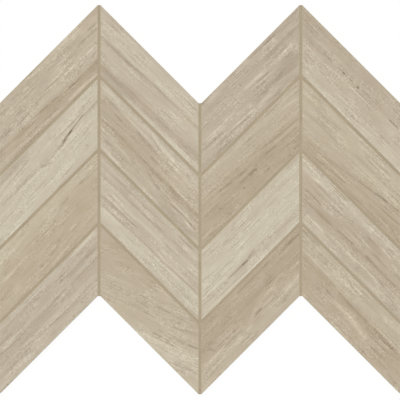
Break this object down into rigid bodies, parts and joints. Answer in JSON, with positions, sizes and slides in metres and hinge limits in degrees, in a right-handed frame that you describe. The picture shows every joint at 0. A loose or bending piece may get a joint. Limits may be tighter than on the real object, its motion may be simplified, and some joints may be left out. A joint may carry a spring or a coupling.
{
  "type": "porcelain mosaic tile",
  "caption": "Mesh-mounted mosaic sheet of mitred porcelain chips laid in zigzag chevron courses, with stone-look faces, tan grouted joints and notched edges that interlock with the next sheet.",
  "frame": {"origin": "middle of the sheet's outline, on the underside of the mesh", "axes": "+Z out of the face, +X across the columns to the picture's right, +Y up the courses to the picture's top"},
  "size_m": [0.305, 0.2964, 0.0086],
  "materials": {
    "porcelain_pale": "satin",
    "porcelain_mid": "satin",
    "porcelain_taupe": "satin",
    "grout": "matte",
    "mesh": "matte"
  },
  "bodies": {
    "root": {"chip_a1": "porcelain_mid", "chip_a2": "porcelain_pale", "chip_a3": "porcelain_mid", "chip_a4": "porcelain_mid", "chip_b1": "porcelain_pale", "chip_b2": "porcelain_mid", "chip_b3": "porcelain_pale", "chip_b4": "porcelain_mid", "chip_c1": "porcelain_mid", "chip_c2": "porcelain_taupe", "chip_c3": "porcelain_pale", "chip_c4": "porcelain_taupe", "chip_d1": "porcelain_mid", "chip_d2": "porcelain_mid", "chip_d3": "porcelain_mid", "chip_d4": "porcelain_taupe", "grout": "grout", "mesh_backing": "mesh"}
  },
  "joints": []
}
